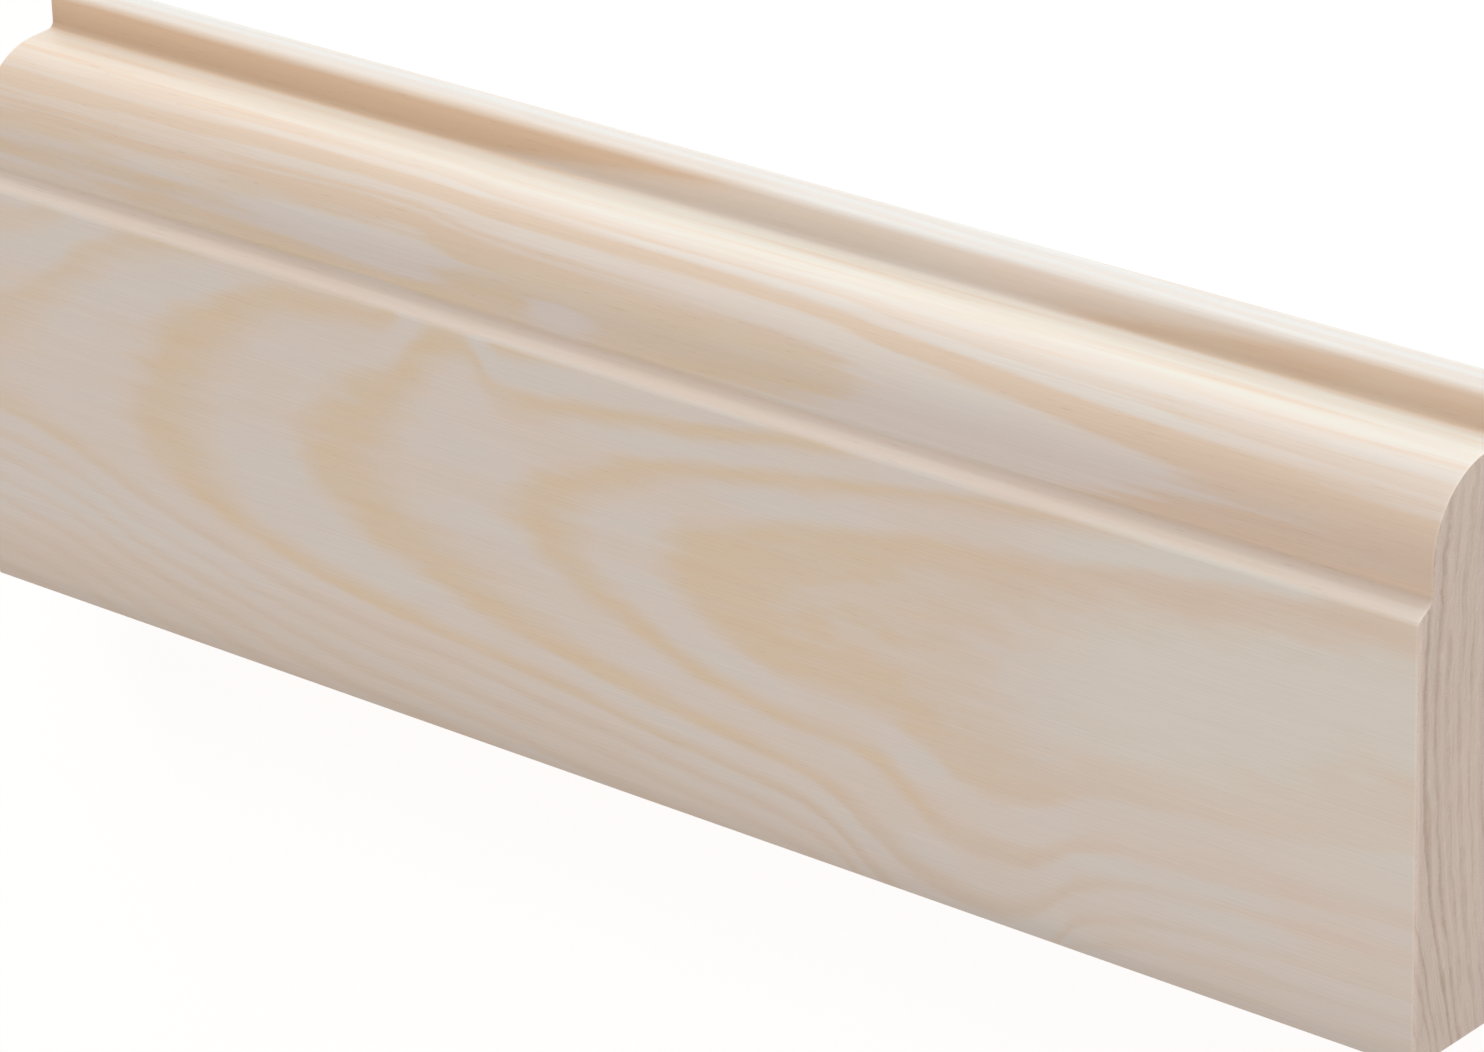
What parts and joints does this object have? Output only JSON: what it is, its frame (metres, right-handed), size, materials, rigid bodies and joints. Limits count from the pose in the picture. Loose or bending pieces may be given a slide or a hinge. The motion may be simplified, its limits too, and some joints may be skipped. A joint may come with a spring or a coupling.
{
  "type": "architrave",
  "caption": "Short length of softwood architrave with a flat face, a sloping ledge, a rounded torus and a thin lip, square cut at both ends.",
  "frame": {"origin": "middle of the flat back, with the moulding lying on its back", "axes": "+X along the grain, +Y across the width from the thick edge to the thin lip, +Z out of the moulded face"},
  "size_m": [0.205, 0.069, 0.02],
  "materials": {
    "planed_softwood": "planed bare pine, matt"
  },
  "bodies": {
    "root": {"architrave": "planed_softwood"}
  },
  "joints": []
}
